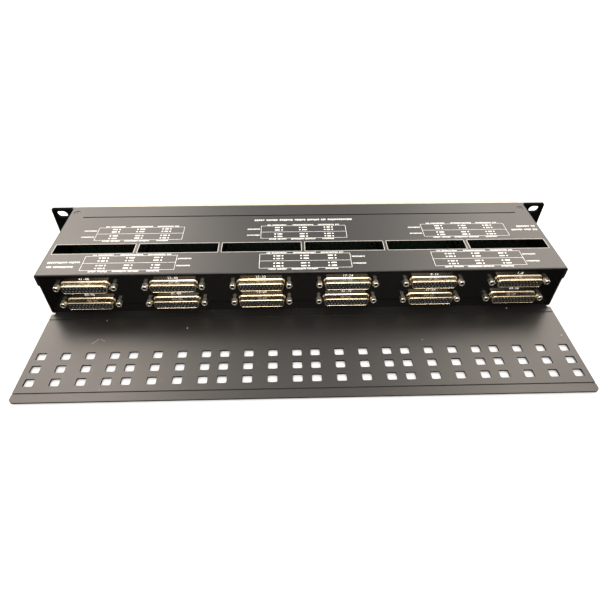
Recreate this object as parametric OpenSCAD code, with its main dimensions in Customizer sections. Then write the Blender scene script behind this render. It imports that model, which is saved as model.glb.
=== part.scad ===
// One-unit audio patch bay for a 19 inch rack: two rows of miniature jacks in front, D-sub
// connectors behind, jumper shunts under windows in the cover, and a perforated cable tray.
// Frame: X to the right seen from the front, Y towards the rear, Z up. The origin is at the
// centre of the four rack slots, on the rear face of the front panel.

/* [Rack panel] */
// Height of the front panel
panel_h = 43.7; // [43:0.1:60]
// Thickness of the front panel
panel_t = 3.2; // [2.4:0.1:5]
// Width of each ear, from the chassis side to the panel's end
ear_w = 21.8; // [19:0.1:40]
// Distance from the panel's end to the middle of a rack slot
slot_inset = 8.75; // [7:0.05:12]
// Vertical distance between the two rack slots of an ear
slot_rise = 31.75; // [25:0.05:36]
// Length of a rack slot
slot_l = 10.5; // [8:0.1:12]
// Width of a rack slot
slot_w = 7.0; // [5:0.1:7.5]

/* [Case] */
// Height of the body, from its underside to its top, which is flush with the panel's
body_h = 42.5; // [41:0.1:43.7]
// Depth of the body behind the front panel
body_d = 100.3; // [98:0.1:160]
// Thickness of every folded sheet
sheet_t = 1.2; // [0.8:0.1:1.6]
// Outer radius of a fold
fold_r = 1.7; // [1.7:0.1:3]
// Room between the outermost modules and the chassis side
side_margin = 2.0; // [2:0.1:20]
// Depth of the cover's side lips
lip_h = 13.5; // [10:0.5:18]
// Distance from the panel to the slit across the cover
cover_slit_y = 15.0; // [14.5:0.1:20]
// Width of the slit across the cover
cover_slit_w = 1.4; // [0.6:0.1:2]
// Distance from each side of the cover to the end of its slit
cover_slit_end = 14.7; // [12:0.1:40]

/* [Modules] */
// Distance from one module of eight channels to the next
module_pitch = 72.5; // [72.5:0.1:100]
// Distance from one jack to the next in a module
jack_pitch = 8.89; // [8.6:0.01:9.1]
// Vertical distance between the two rows of jacks
jack_rows = 13.6; // [13.4:0.1:14.5]
// Inner radius of a jack's nose, for a 4.4 mm plug
jack_bore_r = 2.2; // [2:0.05:2.4]
// Outer radius of a jack's nose
nose_r = 3.0; // [2.7:0.05:3.1]
// How far a jack's nose stands out of the panel
nose_out = 1.8; // [0.5:0.1:4]
// Radial room around a jack's nose in the panel
nose_fit = 0.1; // [0.05:0.05:0.3]
// Length of a jack's body
jack_l = 32; // [30:0.5:40]

/* [Access windows] */
// Width of a window over the shunts
window_w = 68.8; // [64:0.1:70]
// Depth of a window over the shunts
window_d = 13.0; // [11:0.1:16]
// Distance from the panel to the middle of the windows
window_y = 65.1; // [60:0.1:68]
// Pin pitch of the shunt headers
pin_pitch = 2.54; // [2:0.01:2.6]
// Distance between the two rows of header pins in a module
header_rows = 6.4; // [5:0.1:7]

/* [Rear connectors] */
// Vertical distance between the two rows of connectors
conn_rise = 18.2; // [14:0.1:20]
// Distance from the top of the body to the middle between the two rows
conn_drop = 20.65; // [19:0.05:22]
// Width of a connector's D shell at its wide side
conn_w = 38.3; // [38:0.1:39]
// Height of a connector's D shell
conn_h = 8.1; // [7.9:0.1:8.4]
// How far a D shell stands out of the rear panel
conn_out = 6.0; // [5:0.1:7]
// Distance between the two jackscrews of a connector
screw_span = 47.04; // [46:0.02:48]
// Distance across the flats of a jackscrew
screw_af = 4.75; // [4.5:0.05:5.2]
// Length of a jackscrew's hexagon
screw_l = 5.0; // [4:0.1:7]
// Bore radius of a jackscrew's thread
screw_bore_r = 1.2; // [1:0.05:1.4]

/* [Cable tray] */
// How far the tray reaches behind the body
tray_d = 94.7; // [60:0.1:140]
// Distance from the body to the tray's front crease
front_crease = 9.7; // [6:0.1:15]
// Distance from the tray's edge to its rear crease
rear_crease = 7.9; // [6:0.1:9]
// Width of the front crease
front_crease_w = 0.9; // [0.5:0.1:1.5]
// Width of the rear crease
rear_crease_w = 1.3; // [0.5:0.1:1.5]
// Depth of both creases in the sheet
crease_t = 0.6; // [0.2:0.1:0.7]
// Distance from the body to the first row of tray holes
hole_start = 50.9; // [20:0.1:52]
// Distance between the rows of tray holes
hole_step = 12.9; // [10:0.1:14]
// Width of a tray hole
hole_w = 7.4; // [5:0.1:9]
// Depth of a tray hole
hole_d = 7.1; // [5:0.1:9]
// Corner radius of a tray hole
hole_r = 1.0; // [0.4:0.1:2]

/* [Label strips] */
// Height of a label holder
holder_h = 9.0; // [8:0.1:9.5]
// How far a label holder stands out of the panel
holder_out = 5.0; // [3:0.1:6]
// Wall of a label holder
holder_t = 0.8; // [0.6:0.1:1]
// Thickness of a label strip
label_t = 0.5; // [0.3:0.1:0.8]
// Free space around a label strip in its holder
label_gap = 0.2; // [0.1:0.05:0.4]
// Distance from a holder to the panel's edge
holder_inset = 0.6; // [0.4:0.1:2]

/* [Hidden] */
$fn = 48;
eps = 0.01;
module_count = 6;
row_names = ["upper", "lower"];
module_names = ["a", "b", "c", "d", "e", "f"];
shell_names = [for (row = row_names) for (m = module_names) str("connector_shell_", row, "_", m)];
insert_names = [for (row = row_names) for (m = module_names) str("connector_insert_", row, "_", m)];
board_names = [for (m = module_names) str("patch_board_", m)];
shunt_names = [for (m = module_names) str("shunts_", m)];

// Case, worked out from the panel and the modules
body_w = module_count * module_pitch + 2 * side_margin;
panel_w = body_w + 2 * ear_w;
body_top = panel_h / 2;
body_base = body_top - body_h;
floor_top = body_base + sheet_t;
under_top = body_top - sheet_t;
inner_w = body_w - 2 * sheet_t;
fold_in = fold_r - sheet_t;
frame_w = inner_w - 2 * fold_in - 0.2;
wall_y = body_d - sheet_t;

// Corner radii of the sheets
panel_r = 0.8;
window_r = 0.6;
lip_r = 4;

// Cover and panel screws
csk_r = 3.0;
cross_w = 0.6;
cross_l = 3;
shank_r = 1.25;
cover_screw_y = 6.8;
cover_screw_inset = 5.5;
cover_screw_l = 4;
side_screw_y = 88;
side_screw_z = 12;
flange_d = 13;
foot_d = 9.7;
panel_shank_r = 1.45;
panel_head_t = 2;
panel_screw_l = panel_t + 3.5;
pan_head_r = 2.4;
pan_head_t = 1.8;
pan_screw_l = 5.5;
standoff_r = 2.9;

// Jacks and boards
board_t = 1.6;
board_w = 69.6;
board_front = 8;
jack_w = 7.6;
jack_h = 11.4;
jacks = 8;
nose_back = 7.2;
plug_depth = 24;
spring_t = 0.3;
spring_w = 1.6;
spring_rise = 3.1;
leaf_gap_w = 2.2;
leaf_start = 12;
standoff_ys = [sheet_t + jack_l + 7.8, body_d - 22];

// Connectors behind the rear panel
flange_t = 0.8;
flange_w = 53.0;
flange_h = 12.5;
shell_t = 0.45;
shell_r = 2.4;
shell_slant = 10;
insert_back = 9.5;
insert_step = 0.4;
arc_steps = 6;
contact_r = 0.7;
contact_bore_r = 0.48;
contact_bore_l = 5;
contact_pitch = 2.76;
contact_rise = 2.84;
contact_back = 11.5;
thread_r = 1.42;
link_y = body_d - contact_back - board_t;
link_h = 34;
conn_z = body_top - conn_drop;

// Headers and shunts
header_h = 2.5;
pin_w = 0.64;
pin_h = 6.0;
shunt_h = 6.5;
shunt_w = 2.4;
shunt_fit = 0.1;
header_pins_n = 24;

// Tray outline, its holes, and the rivets inside the body
tray_w = body_w - 1.4;
tray_r = 4;
relief = 3;
hole_offsets = [-28.95, -9.65, 9.65, 28.95];
rivets = 4;
rivet_pitch = 115.7;
rivet_r = 1.2;
rivet_head_r = 2.0;
rivet_head_t = 0.7;

function module_x(i) = (i - (module_count - 1) / 2) * module_pitch;
function jack_x(i) = (i - (jacks - 1) / 2) * jack_pitch;
function side_of(row) = row == 0 ? 1 : -1;

// Rectangle with true round corners, about the origin
module round_rect(w, h, r) {
    square([w - 2 * r, h], center = true);
    square([w, h - 2 * r], center = true);
    for (x = [-1, 1], y = [-1, 1])
        translate([x * (w / 2 - r), y * (h / 2 - r)]) circle(r);
}

// Sheet section folded down at both ends, with its top at z = 0
module folded_section(w, drop) {
    translate([-w / 2 + fold_r, -sheet_t]) square([w - 2 * fold_r, sheet_t]);
    for (s = [-1, 1]) {
        translate([s * (w / 2 - sheet_t / 2), -(drop + fold_r) / 2])
            square([sheet_t, drop - fold_r], center = true);
        translate([s * (w / 2 - fold_r), -fold_r])
            intersection() {
                difference() {
                    circle(fold_r);
                    circle(fold_r - sheet_t);
                }
                translate([s > 0 ? 0 : -fold_r, 0]) square(fold_r);
            }
    }
}

// Extrudes a section drawn in X and Z along Y
module along_y(y0, y1) {
    translate([0, y1, 0]) rotate([90, 0, 0]) linear_extrude(y1 - y0) children();
}

// Extrudes a profile drawn in Y and Z along X, centred
module along_x(w) {
    translate([-w / 2, 0, 0]) rotate([90, 0, 90]) linear_extrude(w) children();
}

// Countersunk screw of length l, pointing down from its top face
module countersunk(head_t, l, r) {
    translate([0, 0, -head_t]) cylinder(h = head_t, r1 = r, r2 = csk_r);
    translate([0, 0, -l]) cylinder(h = l - head_t, r = r);
}

module at_modules() {
    for (i = [0 : module_count - 1]) translate([module_x(i), 0, 0]) children();
}

module at_jacks(z) {
    at_modules() for (i = [0 : jacks - 1]) translate([jack_x(i), 0, z]) children();
}

module at_cover_screws() {
    for (s = [-1, 1])
        translate([s * (body_w / 2 - cover_screw_inset), cover_screw_y, body_top]) children();
    for (s = [-1, 1], y = [cover_screw_y + 5, side_screw_y])
        translate([s * (body_w / 2 + sheet_t), y, side_screw_z]) rotate([0, s * 90, 0]) children();
}

module at_panel_screws() {
    for (i = [0 : module_count - 2])
        translate([(module_x(i) + module_x(i + 1)) / 2, -panel_t, 0]) rotate([90, 0, 0]) children();
}

module at_rivets() {
    for (i = [0 : rivets - 1])
        translate([(i - (rivets - 1) / 2) * rivet_pitch, wall_y - foot_d / 2, 0]) children();
}

module at_connectors() {
    at_modules() for (s = [-1, 1]) translate([0, 0, conn_z + s * conn_rise / 2]) children();
}

module at_jackscrews() {
    at_connectors() for (s = [-1, 1]) translate([s * screw_span / 2, 0, 0]) children();
}

// --- Case -------------------------------------------------------------------------------

module front_panel() {
    color([0.09, 0.09, 0.09]) difference() {
        along_y(-panel_t, 0) difference() {
            round_rect(panel_w, panel_h, panel_r);
            for (x = [-1, 1], z = [-1, 1])
                translate([x * (panel_w / 2 - slot_inset), z * slot_rise / 2])
                    union() {
                        square([slot_l - slot_w, slot_w], center = true);
                        for (s = [-1, 1]) translate([s * (slot_l - slot_w) / 2, 0]) circle(slot_w / 2);
                    }
            for (s = [-1, 1], i = [0 : module_count - 1], j = [0 : jacks - 1])
                translate([module_x(i) + jack_x(j), s * jack_rows / 2]) circle(nose_r + nose_fit);
        }
        at_panel_screws() {
            translate([0, 0, -panel_head_t])
                cylinder(h = panel_head_t, r1 = panel_shank_r, r2 = csk_r);
            translate([0, 0, -panel_t - 1]) cylinder(h = panel_t + 1, r = panel_shank_r);
        }
    }
}

module jack_frame() {
    color([0.16, 0.16, 0.15]) difference() {
        union() {
            along_y(0, sheet_t) difference() {
                translate([-frame_w / 2, floor_top]) square([frame_w, under_top - floor_top]);
                for (s = [-1, 1], i = [0 : module_count - 1], j = [0 : jacks - 1])
                    translate([module_x(i) + jack_x(j), s * jack_rows / 2])
                        circle(nose_r + nose_fit);
            }
            for (z = [floor_top, under_top - sheet_t])
                along_x(frame_w) translate([0, z]) square([flange_d, sheet_t]);
        }
        at_panel_screws() translate([0, 0, -panel_screw_l])
            cylinder(h = panel_screw_l, r = panel_shank_r);
        for (s = [-1, 1])
            translate([s * (body_w / 2 - cover_screw_inset), cover_screw_y, 0])
                cylinder(h = body_top + 1, r = shank_r);
    }
}

// Outline of the tray's rear end, with its rounded corners
module tray_end() {
    translate([0, body_d + tray_d - 2 * tray_r]) round_rect(tray_w, 4 * tray_r, tray_r);
}

module base_tray() {
    color([0.14, 0.14, 0.13]) difference() {
        union() {
            translate([0, 0, body_base]) along_y(0, body_d) mirror([0, 1, 0])
                folded_section(body_w, body_h - sheet_t - fold_in);
            translate([0, 0, body_base]) linear_extrude(sheet_t) difference() {
                union() {
                    translate([0, body_d + relief / 2])
                        square([tray_w - 2 * relief, relief], center = true);
                    translate([-tray_w / 2, body_d + relief])
                        square([tray_w, tray_d - relief - tray_r]);
                    tray_end();
                }
                for (i = [0 : module_count - 1], x = hole_offsets, k = [0 : 2])
                    translate([module_x(i) + x, body_d + hole_start + k * hole_step])
                        round_rect(hole_w, hole_d, hole_r);
            }
        }
        // creases across the tray
        translate([0, body_d + front_crease, floor_top])
            cube([tray_w + 2, front_crease_w, 2 * crease_t], center = true);
        translate([0, body_d + tray_d - rear_crease, floor_top])
            cube([tray_w + 2, rear_crease_w, 2 * crease_t], center = true);
        for (s = [-1, 1], y = [cover_screw_y + 5, side_screw_y])
            translate([s * body_w / 2, y, side_screw_z]) rotate([0, 90, 0])
                cylinder(h = 6, r = shank_r, center = true);
        at_rivets() translate([0, 0, body_base - 1]) cylinder(h = sheet_t + 2, r = rivet_r);
    }
}

// D outline, wide side up, with corner radius r
module d_outline(w, h, r) {
    lean = (h - 2 * r) * tan(shell_slant);
    top_x = w / 2 - r;
    low_x = top_x - lean;
    corners = [
        [top_x, h / 2 - r, -shell_slant, 90],
        [-top_x, h / 2 - r, 90, 180 + shell_slant],
        [-low_x, r - h / 2, 180 + shell_slant, 270],
        [low_x, r - h / 2, 270, 360 - shell_slant]
    ];
    polygon([
        for (c = corners, k = [0 : arc_steps])
            let (a = c[2] + (c[3] - c[2]) * k / arc_steps) [c[0] + r * cos(a), c[1] + r * sin(a)]
    ]);
}

module rear_panel() {
    color([0.07, 0.07, 0.06]) difference() {
        union() {
            along_y(wall_y, body_d) difference() {
                translate([-frame_w / 2, floor_top]) square([frame_w, under_top - floor_top]);
                for (i = [0 : module_count - 1], s = [-1, 1])
                    translate([module_x(i), conn_z + s * conn_rise / 2])
                        d_outline(conn_w + 0.4, conn_h + 0.4, shell_r + 0.2);
            }
            for (z = [floor_top, under_top - sheet_t])
                along_x(frame_w) translate([wall_y - foot_d, z]) square([foot_d, sheet_t]);
        }
        at_jackscrews() translate([0, body_d + 1, 0]) rotate([90, 0, 0])
            cylinder(h = sheet_t + 2, r = thread_r + 0.1);
        at_rivets() translate([0, 0, floor_top - 1]) cylinder(h = sheet_t + 2, r = rivet_r);
    }
}

module top_cover() {
    edge_r = sheet_t - 0.2;
    color([0.45, 0.43, 0.41]) difference() {
        translate([0, 0, body_top]) along_y(0, body_d) folded_section(body_w + 2 * sheet_t, lip_h);
        // slit behind the flange of the jack frame
        translate([0, cover_slit_y, body_top])
            cube([body_w + 2 * (sheet_t - cover_slit_end), cover_slit_w, 4 * sheet_t], center = true);
        // windows over the shunts
        at_modules() translate([0, window_y, body_top - 2 * sheet_t])
            linear_extrude(3 * sheet_t) round_rect(window_w, window_d, window_r);
        // rounded rear edge
        translate([0, body_d - edge_r, body_top - edge_r]) along_x(body_w + 9) difference() {
            square(edge_r + 1);
            circle(edge_r);
        }
        // rounded rear lower corners of the side lips
        for (s = [-1, 1])
            translate([s * (body_w / 2 + sheet_t / 2), body_d - lip_r, body_top - lip_h + lip_r])
                rotate([90, 0, 90]) linear_extrude(3 * sheet_t, center = true) difference() {
                    translate([0, -lip_r - 1]) square(lip_r + 1);
                    circle(lip_r);
                }
        at_cover_screws() {
            translate([0, 0, -sheet_t]) cylinder(h = sheet_t, r1 = shank_r, r2 = csk_r);
            translate([0, 0, -sheet_t - 0.5]) cylinder(h = 1, r = shank_r);
        }
    }
}

// --- Fasteners --------------------------------------------------------------------------

module cover_screws() {
    color([0.25, 0.25, 0.24]) at_cover_screws() difference() {
        countersunk(sheet_t, cover_screw_l, shank_r);
        for (a = [0, 90]) rotate([0, 0, a]) cube([cross_l, cross_w, 1.3], center = true);
    }
}

module panel_screws() {
    color([0.2, 0.2, 0.2]) at_panel_screws() difference() {
        countersunk(panel_head_t, panel_screw_l, panel_shank_r);
        for (a = [0, 90]) rotate([0, 0, a]) cube([cross_l, cross_w, 2], center = true);
    }
}

module tray_rivets() {
    color([0.6, 0.6, 0.58]) at_rivets() {
        translate([0, 0, body_base]) cylinder(h = 2 * sheet_t, r = rivet_r);
        translate([0, 0, floor_top + sheet_t]) cylinder(h = rivet_head_t, r = rivet_head_r);
    }
}

module at_standoffs() {
    at_modules() for (x = [-30, 30], y = standoff_ys)
        translate([x, y, 0]) children();
}

module board_standoffs() {
    color([0.75, 0.72, 0.62]) at_standoffs() difference() {
        translate([0, 0, floor_top])
            cylinder(h = -board_t / 2 - floor_top, r = standoff_r, $fn = 6);
        translate([0, 0, -pan_screw_l - 1.5]) cylinder(h = pan_screw_l + 2.5, r = shank_r);
    }
}

module board_screws() {
    color([0.7, 0.7, 0.68]) at_standoffs() difference() {
        union() {
            translate([0, 0, board_t / 2]) cylinder(h = pan_head_t, r = pan_head_r);
            translate([0, 0, -pan_screw_l])
                cylinder(h = pan_screw_l + board_t / 2 + eps, r = shank_r);
        }
        for (a = [0, 90]) rotate([0, 0, a])
            translate([0, 0, board_t / 2 + pan_head_t]) cube([cross_l, cross_w, 1.6], center = true);
    }
}

// --- Rear connectors --------------------------------------------------------------------

module place_connector(row, i) {
    translate([module_x(i), body_d, conn_z + side_of(row) * conn_rise / 2]) children();
}

module connector_shell(row, i) {
    color([0.78, 0.72, 0.56]) place_connector(row, i) difference() {
        union() {
            along_y(-sheet_t - flange_t, -sheet_t) round_rect(flange_w, flange_h, 1.5);
            along_y(-sheet_t, conn_out) d_outline(conn_w, conn_h, shell_r);
        }
        along_y(-sheet_t - flange_t - 1, conn_out + 1)
            d_outline(conn_w - 2 * shell_t, conn_h - 2 * shell_t, shell_r - shell_t);
        for (s = [-1, 1]) translate([s * screw_span / 2, 0, 0]) rotate([90, 0, 0])
            cylinder(h = 5, r = thread_r + 0.1);
    }
}

module at_contacts() {
    for (k = [0 : 12]) translate([(k - 6) * contact_pitch, 0, contact_rise / 2]) children();
    for (k = [0 : 11]) translate([(k - 5.5) * contact_pitch, 0, -contact_rise / 2]) children();
}

module connector_insert(row, i) {
    color([0.05, 0.05, 0.05]) place_connector(row, i) difference() {
        union() {
            along_y(-insert_back, -sheet_t - flange_t) round_rect(conn_w + 2, conn_h + 2, 1);
            along_y(-sheet_t - flange_t - eps, conn_out - insert_step)
                d_outline(conn_w - 2 * shell_t - 0.04, conn_h - 2 * shell_t - 0.04,
                    shell_r - shell_t - 0.02);
        }
        at_contacts() translate([0, conn_out + 1, 0]) rotate([90, 0, 0])
            cylinder(h = insert_back + conn_out + 2, r = contact_r + 0.02, $fn = 24);
    }
}

module connector_contacts() {
    tip_y = conn_out - insert_step - 0.3;
    color([0.72, 0.66, 0.45]) translate([0, body_d, 0]) at_connectors() at_contacts()
        translate([0, tip_y, 0]) rotate([90, 0, 0]) difference() {
            cylinder(h = contact_back + tip_y, r = contact_r, $fn = 24);
            translate([0, 0, -1]) cylinder(h = contact_bore_l + 1, r = contact_bore_r, $fn = 24);
        }
}

module jackscrews() {
    color([0.78, 0.75, 0.66]) translate([0, body_d, 0]) at_jackscrews() rotate([-90, 0, 0])
        difference() {
            union() {
                cylinder(h = screw_l, r = screw_af / 2 / cos(30), $fn = 6);
                translate([0, 0, -4]) cylinder(h = 4 + eps, r = thread_r);
            }
            translate([0, 0, 0.5]) cylinder(h = screw_l, r = screw_bore_r);
        }
}

module connector_boards() {
    color([0.06, 0.09, 0.06]) at_modules() translate([0, link_y + board_t / 2, conn_z])
        cube([board_w, board_t, link_h], center = true);
}

// --- Patch boards, headers and shunts ---------------------------------------------------

module patch_board(i) {
    color([0.06, 0.1, 0.06]) difference() {
        translate([module_x(i), (board_front + link_y) / 2, 0])
            cube([board_w, link_y - board_front, board_t], center = true);
        for (x = [-30, 30], y = standoff_ys)
            translate([module_x(i) + x, y, 0]) cylinder(h = board_t + 1, r = shank_r + 0.1, center = true);
    }
}

module at_headers() {
    at_modules() for (s = [-1, 1])
        translate([0, window_y + s * header_rows / 2, board_t / 2]) children();
}

module header_strips() {
    color([0.04, 0.04, 0.04]) at_headers() difference() {
        translate([0, 0, header_h / 2])
            cube([header_pins_n * pin_pitch, 2.4, header_h], center = true);
        for (k = [0 : header_pins_n - 1])
            translate([(k - (header_pins_n - 1) / 2) * pin_pitch, 0, 0])
                cube([pin_w, pin_w, 3 * header_h], center = true);
    }
}

module header_pins() {
    color([0.8, 0.7, 0.35]) at_headers() for (k = [0 : header_pins_n - 1])
        translate([(k - (header_pins_n - 1) / 2) * pin_pitch, 0, (header_h + pin_h) / 2])
            cube([pin_w, pin_w, header_h + pin_h], center = true);
}

module shunt_cap() {
    w = 2 * pin_pitch - 0.2;
    difference() {
        translate([0, 0, shunt_h / 2]) cube([w, shunt_w, shunt_h], center = true);
        for (s = [-1, 1]) translate([s * pin_pitch / 2, 0, (pin_h + 0.2) / 2 - 1])
            cube([pin_w + 2 * shunt_fit, pin_w + 2 * shunt_fit, pin_h + 0.2 + 2], center = true);
    }
}

module shunts(i) {
    color([0.06, 0.06, 0.06]) for (s = [-1, 1], k = [0 : jacks - 1])
        translate([
            module_x(i) + (3 * k + 0.5 - (header_pins_n - 1) / 2) * pin_pitch,
            window_y + s * header_rows / 2,
            board_t / 2 + header_h + shunt_fit
        ]) shunt_cap();
}

// --- Jacks ------------------------------------------------------------------------------

module jack_noses(row) {
    color([0.8, 0.78, 0.7]) at_jacks(side_of(row) * jack_rows / 2) rotate([-90, 0, 0])
        translate([0, 0, -panel_t - nose_out]) difference() {
            cylinder(h = panel_t + nose_out + nose_back, r = nose_r);
            translate([0, 0, -1]) cylinder(h = panel_t + nose_out + nose_back + 2, r = jack_bore_r);
        }
}

// One jack's body, its plug axis at the origin, board below for the upper row
module jack_body() {
    base = board_t / 2 - jack_rows / 2;
    difference() {
        translate([-jack_w / 2, sheet_t, base]) cube([jack_w, jack_l, jack_h]);
        translate([0, -1, 0]) rotate([-90, 0, 0]) cylinder(h = nose_back + 1, r = nose_r);
        rotate([-90, 0, 0]) cylinder(h = plug_depth, r = jack_bore_r);
        for (s = [-1, 1])
            translate([-leaf_gap_w / 2, leaf_start, s * (spring_rise - 0.6) - 1.1])
                cube([leaf_gap_w, jack_l, leaf_gap_w]);
    }
}

module jack_bodies(row) {
    color([0.07, 0.07, 0.07]) at_jacks(side_of(row) * jack_rows / 2)
        mirror([0, 0, row]) jack_body();
}

// Two leaf springs of a jack, from the gaps in its body down to the board
module jack_spring_pair() {
    tail_z = board_t / 2 - jack_rows / 2;
    back_y = sheet_t + jack_l;
    for (s = [-1, 1]) {
        leaf_z = s * spring_rise;
        leaf_end = back_y + 2 + s;
        along_x(spring_w) {
            translate([leaf_start + 1, leaf_z]) square([leaf_end - leaf_start - 1, spring_t]);
            translate([leaf_end - spring_t, tail_z]) square([spring_t, leaf_z - tail_z + eps]);
        }
    }
}

module jack_springs() {
    color([0.75, 0.6, 0.35]) for (row = [0, 1])
        at_jacks(side_of(row) * jack_rows / 2) mirror([0, 0, row]) jack_spring_pair();
}

// --- Label strips -----------------------------------------------------------------------

// Channel with its back on the panel and lips that hold the strip; z = 0 is its middle
module holder_section() {
    front = -panel_t - holder_out;
    difference() {
        translate([front, -holder_h / 2]) square([holder_out, holder_h]);
        translate([front + holder_t, -holder_h / 2 + holder_t])
            square([label_t + 2 * label_gap, holder_h - 2 * holder_t]);
        translate([front - 1, -holder_h / 2 + 2 * holder_t])
            square([2, holder_h - 4 * holder_t]);
        translate([front + 2 * holder_t + label_t + 2 * label_gap, -holder_h / 2 + holder_t])
            square([holder_out - 3 * holder_t - label_t - 2 * label_gap, holder_h - 2 * holder_t]);
    }
}

function holder_z(row) = side_of(row) * (panel_h / 2 - holder_inset - holder_h / 2);
holder_w = (module_count - 1) * module_pitch + (jacks - 1) * jack_pitch + 2 * nose_r + 2;

module label_holder(row) {
    color([0.85, 0.8, 0.68]) translate([0, 0, holder_z(row)]) along_x(holder_w) holder_section();
}

module label_strip(row) {
    color([0.95, 0.92, 0.8]) translate([0, 0, holder_z(row)]) along_x(holder_w)
        translate([-panel_t - holder_out + holder_t + label_gap, -holder_h / 2 + holder_t + label_gap])
            square([label_t, holder_h - 2 * holder_t - 2 * label_gap]);
}

front_panel();
jack_frame();
base_tray();
rear_panel();
top_cover();
cover_screws();
panel_screws();
tray_rivets();
board_standoffs();
board_screws();
for (row = [0, 1], i = [0 : module_count - 1]) {
    connector_shell(row, i);
    connector_insert(row, i);
}
connector_contacts();
jackscrews();
connector_boards();
for (i = [0 : module_count - 1]) {
    patch_board(i);
    shunts(i);
}
header_strips();
header_pins();
jack_noses(0);  // jack_noses_upper
jack_noses(1);  // jack_noses_lower
jack_bodies(0);  // jack_bodies_upper
jack_bodies(1);  // jack_bodies_lower
jack_springs();
label_holder(0);  // label_holder_upper
label_holder(1);  // label_holder_lower
label_strip(0);  // label_strip_upper
label_strip(1);  // label_strip_lower
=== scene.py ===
"""The looks of a one-unit audio patch bay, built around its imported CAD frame.

Everything is in metres. The front panel's rear face is at y = 0, the connectors and the
cable tray are towards +Y, and the unit lies on a pale studio floor.
"""

import math
import random

import bmesh
import bpy
from mathutils import Euler, Matrix, Vector


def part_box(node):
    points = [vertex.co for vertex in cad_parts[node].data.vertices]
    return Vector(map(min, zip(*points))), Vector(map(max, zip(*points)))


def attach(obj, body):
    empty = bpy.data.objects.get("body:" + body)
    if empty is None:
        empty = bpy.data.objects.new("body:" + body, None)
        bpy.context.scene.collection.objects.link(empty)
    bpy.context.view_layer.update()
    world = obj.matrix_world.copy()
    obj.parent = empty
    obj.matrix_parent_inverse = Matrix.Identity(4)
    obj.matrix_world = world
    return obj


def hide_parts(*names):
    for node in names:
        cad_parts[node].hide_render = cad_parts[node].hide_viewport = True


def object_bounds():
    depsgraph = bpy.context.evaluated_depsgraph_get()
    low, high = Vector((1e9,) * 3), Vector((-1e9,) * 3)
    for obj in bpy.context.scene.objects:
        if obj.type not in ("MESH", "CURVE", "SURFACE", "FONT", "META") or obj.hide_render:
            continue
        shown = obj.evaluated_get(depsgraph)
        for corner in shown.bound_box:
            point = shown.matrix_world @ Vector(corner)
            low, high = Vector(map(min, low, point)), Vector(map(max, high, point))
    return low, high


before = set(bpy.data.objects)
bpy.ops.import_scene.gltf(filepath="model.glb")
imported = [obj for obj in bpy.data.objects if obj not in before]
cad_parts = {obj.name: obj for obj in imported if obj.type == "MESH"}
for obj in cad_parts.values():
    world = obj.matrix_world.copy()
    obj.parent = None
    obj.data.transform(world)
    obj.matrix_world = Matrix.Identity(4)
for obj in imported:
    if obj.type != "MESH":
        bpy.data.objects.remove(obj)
cad_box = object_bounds()

MM = 0.001
scene = bpy.context.scene
scene.view_settings.view_transform = "Standard"

# ---- Camera ----------------------------------------------------------------------------
# A short lens stands behind and above the unit, a little to its right-hand side as seen
# from the front, and looks forwards and down over the cable tray.

camera_data = bpy.data.cameras.new("camera")
camera_data.lens = 28.62
camera_data.sensor_width = 36.0
camera_data.clip_start = 0.01
camera = bpy.data.objects.new("camera", camera_data)
camera.location = Vector((13.4, 403.8, 271.7)) * MM
camera.rotation_euler = Euler([math.radians(a) for a in (47.18, -0.28, 178.39)])
scene.collection.objects.link(camera)
scene.camera = camera

# ---- Studio ----------------------------------------------------------------------------
# A pale matt floor under a white sky. Soft panels stand beyond the front panel, where the
# cover and the tray mirror them: two bright ones on the left of the picture, two weaker ones
# on the right and a dim one between them. Two more light the unit from above and behind.


def set_input(node, name, value):
    node.inputs[name].default_value = value


def new_material(name):
    """A node material and its Principled shader."""
    material = bpy.data.materials.new(name)
    material.use_nodes = True
    return material, material.node_tree.nodes["Principled BSDF"]


def noise(tree, scale, detail=2.0, stretch=(1.0, 1.0, 1.0)):
    """Noise on Object coordinates; scale is in features per metre."""
    place = tree.nodes.new("ShaderNodeTexCoord")
    mapping = tree.nodes.new("ShaderNodeMapping")
    texture = tree.nodes.new("ShaderNodeTexNoise")
    set_input(mapping, "Scale", stretch)
    set_input(texture, "Scale", scale)
    set_input(texture, "Detail", detail)
    tree.links.new(place.outputs["Object"], mapping.inputs["Vector"])
    tree.links.new(mapping.outputs["Vector"], texture.inputs["Vector"])
    return texture.outputs["Fac"]


def ramp(tree, source, low, high, dark, light):
    """Maps source, between low and high, onto a blend of two colours."""
    node = tree.nodes.new("ShaderNodeValToRGB")
    node.color_ramp.elements[0].position = low
    node.color_ramp.elements[1].position = high
    node.color_ramp.elements[0].color = (*dark, 1.0)
    node.color_ramp.elements[1].color = (*light, 1.0)
    tree.links.new(source, node.inputs["Fac"])
    return node.outputs["Color"]


def spread(tree, source, low, high):
    """Maps source, from 0.3 to 0.7, onto the range from low to high."""
    node = tree.nodes.new("ShaderNodeMapRange")
    set_input(node, "From Min", 0.3)
    set_input(node, "From Max", 0.7)
    set_input(node, "To Min", low)
    set_input(node, "To Max", high)
    tree.links.new(source, node.inputs["Value"])
    return node.outputs["Result"]


def bump(tree, shader, source, strength, distance):
    """Lets source raise the shader's surface by up to distance."""
    node = tree.nodes.new("ShaderNodeBump")
    set_input(node, "Strength", strength)
    set_input(node, "Distance", distance)
    tree.links.new(source, node.inputs["Height"])
    tree.links.new(node.outputs["Normal"], shader.inputs["Normal"])


def matt(name, grain, dark, light, roughness, specular):
    """Matt stuff for the studio, between two tones."""
    material, shader = new_material(name)
    tree = material.node_tree
    tree.links.new(ramp(tree, noise(tree, grain), 0.3, 0.7, dark, light),
                   shader.inputs["Base Color"])
    set_input(shader, "Roughness", roughness)
    set_input(shader, "Specular IOR Level", specular)
    return material


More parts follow.
